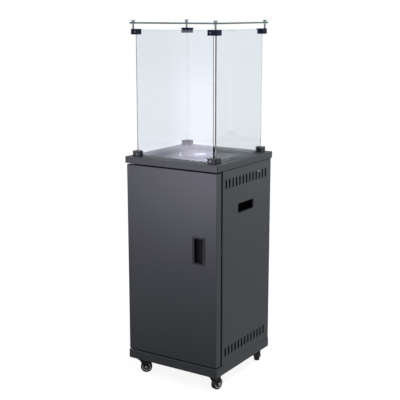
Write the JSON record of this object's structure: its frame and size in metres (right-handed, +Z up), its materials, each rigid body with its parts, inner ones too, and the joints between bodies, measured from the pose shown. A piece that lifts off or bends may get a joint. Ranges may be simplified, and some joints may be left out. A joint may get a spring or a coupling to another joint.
{
  "type": "gas patio heater",
  "caption": "Square-cabinet gas patio heater on swivel casters, with a hinged door, a burner in the lid and a flat-pane glass enclosure under a raised glass plate.",
  "frame": {"origin": "on the floor under the middle of the cabinet", "axes": "+Z up, the door faces -Y, +X is the right-hand side seen from the front"},
  "size_m": [0.45, 0.462, 1.5085],
  "materials": {
    "charcoal_powder_coat": "satin powder coat",
    "inner_powder_coat": "satin powder coat",
    "zinc_plated_steel": "zinc plated",
    "clear_glass": "clear, greenish at the edges",
    "black_metal": "satin",
    "stainless_steel": "satin",
    "polished_stainless": "polished",
    "silicone": "matt",
    "tyre_rubber": "matt",
    "wheel_disc": "satin",
    "black_plastic": "matt",
    "grey_plastic": "matt",
    "red_plastic": "gloss",
    "white_nylon": "matt",
    "brass": "satin",
    "aluminium": "satin",
    "ceramic": "glazed"
  },
  "bodies": {
    "cabinet": {"plinth": "charcoal_powder_coat", "cabinet_floor": "inner_powder_coat", "bottle_stand": "inner_powder_coat", "side_panel_right": "charcoal_powder_coat", "side_panel_left": "charcoal_powder_coat", "rear_panel": "charcoal_powder_coat", "front_rail": "inner_powder_coat", "lid_brackets": "zinc_plated_steel", "lid": "charcoal_powder_coat", "burner_tray": "black_metal", "burner_bowl": "stainless_steel", "burner_ring": "black_metal", "burner_cap": "polished_stainless", "burner_injector": "brass", "supply_pipe": "aluminium", "pilot_burner": "stainless_steel", "pilot_pipe": "aluminium", "thermocouple": "stainless_steel", "spark_electrode": "ceramic", "control_panel": "inner_powder_coat", "gas_valve": "aluminium", "gas_inlet": "brass", "igniter_body": "black_plastic", "tilt_switch": "black_plastic", "magnetic_catch": "black_plastic", "hinge_brackets": "zinc_plated_steel", "hinge_pins": "stainless_steel", "top_glass": "clear_glass", "lower_clamps": "black_metal", "upper_clamps": "black_metal", "clamp_screws": "polished_stainless", "top_posts": "stainless_steel", "glass_washers": "silicone", "post_caps": "polished_stainless", "caster_plates": "zinc_plated_steel", "pane_front": "clear_glass", "pane_right": "clear_glass", "pane_rear": "clear_glass", "pane_left": "clear_glass"},
    "door": {"door_shell": "charcoal_powder_coat", "door_stiffener": "inner_powder_coat", "door_pull": "grey_plastic", "hinge_bushes": "white_nylon"},
    "valve_spindle": {"valve_stem": "brass"},
    "knob": {"control_knob": "black_plastic"},
    "button": {"igniter_button": "red_plastic"},
    "swivel_front_left": {"fork_front_left": "black_metal"},
    "wheel_front_left": {"tyre_front_left": "tyre_rubber", "rim_front_left": "wheel_disc"},
    "swivel_front_right": {"fork_front_right": "black_metal"},
    "wheel_front_right": {"tyre_front_right": "tyre_rubber", "rim_front_right": "wheel_disc"},
    "swivel_rear_right": {"fork_rear_right": "black_metal"},
    "wheel_rear_right": {"tyre_rear_right": "tyre_rubber", "rim_rear_right": "wheel_disc"},
    "pedal_rear_right": {"brake_pedal_rear_right": "black_plastic"},
    "swivel_rear_left": {"fork_rear_left": "black_metal"},
    "wheel_rear_left": {"tyre_rear_left": "tyre_rubber", "rim_rear_left": "wheel_disc"},
    "pedal_rear_left": {"brake_pedal_rear_left": "black_plastic"}
  },
  "joints": [
    {"name": "door_hinge", "type": "hinge", "parent": "cabinet", "child": "door", "pos_m": [-0.2085, -0.1995, 0.5185], "axis": [0, 0, -1], "range_deg": [0, 110]},
    {"name": "knob_push", "type": "slide", "parent": "cabinet", "child": "valve_spindle", "axis": [0, 1, 0], "range_m": [0, 0.005], "stiffness_N_per_m": 1500, "springref_m": -0.002},
    {"name": "knob_turn", "type": "hinge", "parent": "valve_spindle", "child": "knob", "pos_m": [-0.045, -0.17, 0.893], "axis": [0, -1, 0], "range_deg": [0, 200]},
    {"name": "igniter_press", "type": "slide", "parent": "cabinet", "child": "button", "axis": [0, 1, 0], "range_m": [0, 0.005], "stiffness_N_per_m": 1500, "springref_m": -0.002},
    {"name": "swivel_turn_front_left", "type": "hinge", "parent": "cabinet", "child": "swivel_front_left", "pos_m": [-0.1835, -0.1835, 0.058], "axis": [0, 0, 1], "continuous": true},
    {"name": "wheel_spin_front_left", "type": "hinge", "parent": "swivel_front_left", "child": "wheel_front_left", "pos_m": [-0.16673, -0.17261, 0.025], "axis": [-0.5446, 0.8387, 0], "continuous": true},
    {"name": "swivel_turn_front_right", "type": "hinge", "parent": "cabinet", "child": "swivel_front_right", "pos_m": [0.1835, -0.1835, 0.058], "axis": [0, 0, 1], "continuous": true},
    {"name": "wheel_spin_front_right", "type": "hinge", "parent": "swivel_front_right", "child": "wheel_front_right", "pos_m": [0.18834, -0.16409, 0.025], "axis": [-0.9703, 0.2419, 0], "continuous": true},
    {"name": "swivel_turn_rear_right", "type": "hinge", "parent": "cabinet", "child": "swivel_rear_right", "pos_m": [0.1835, 0.1835, 0.058], "axis": [0, 0, 1], "continuous": true},
    {"name": "wheel_spin_rear_right", "type": "hinge", "parent": "swivel_rear_right", "child": "wheel_rear_right", "pos_m": [0.17601, 0.20204, 0.025], "axis": [-0.9272, -0.3746, 0], "continuous": true},
    {"name": "brake_lift_rear_right", "type": "hinge", "parent": "swivel_rear_right", "child": "pedal_rear_right", "pos_m": [0.17488, 0.20483, 0.0546], "axis": [0.9272, 0.3746, 0], "range_deg": [0, 22]},
    {"name": "swivel_turn_rear_left", "type": "hinge", "parent": "cabinet", "child": "swivel_rear_left", "pos_m": [-0.1835, 0.1835, 0.058], "axis": [0, 0, 1], "continuous": true},
    {"name": "wheel_spin_rear_left", "type": "hinge", "parent": "swivel_rear_left", "child": "wheel_rear_left", "pos_m": [-0.1735, 0.20082, 0.025], "axis": [-0.866, 0.5, 0], "continuous": true},
    {"name": "brake_lift_rear_left", "type": "hinge", "parent": "swivel_rear_left", "child": "pedal_rear_left", "pos_m": [-0.172, 0.20342, 0.0546], "axis": [0.866, -0.5, 0], "range_deg": [0, 22]}
  ]
}
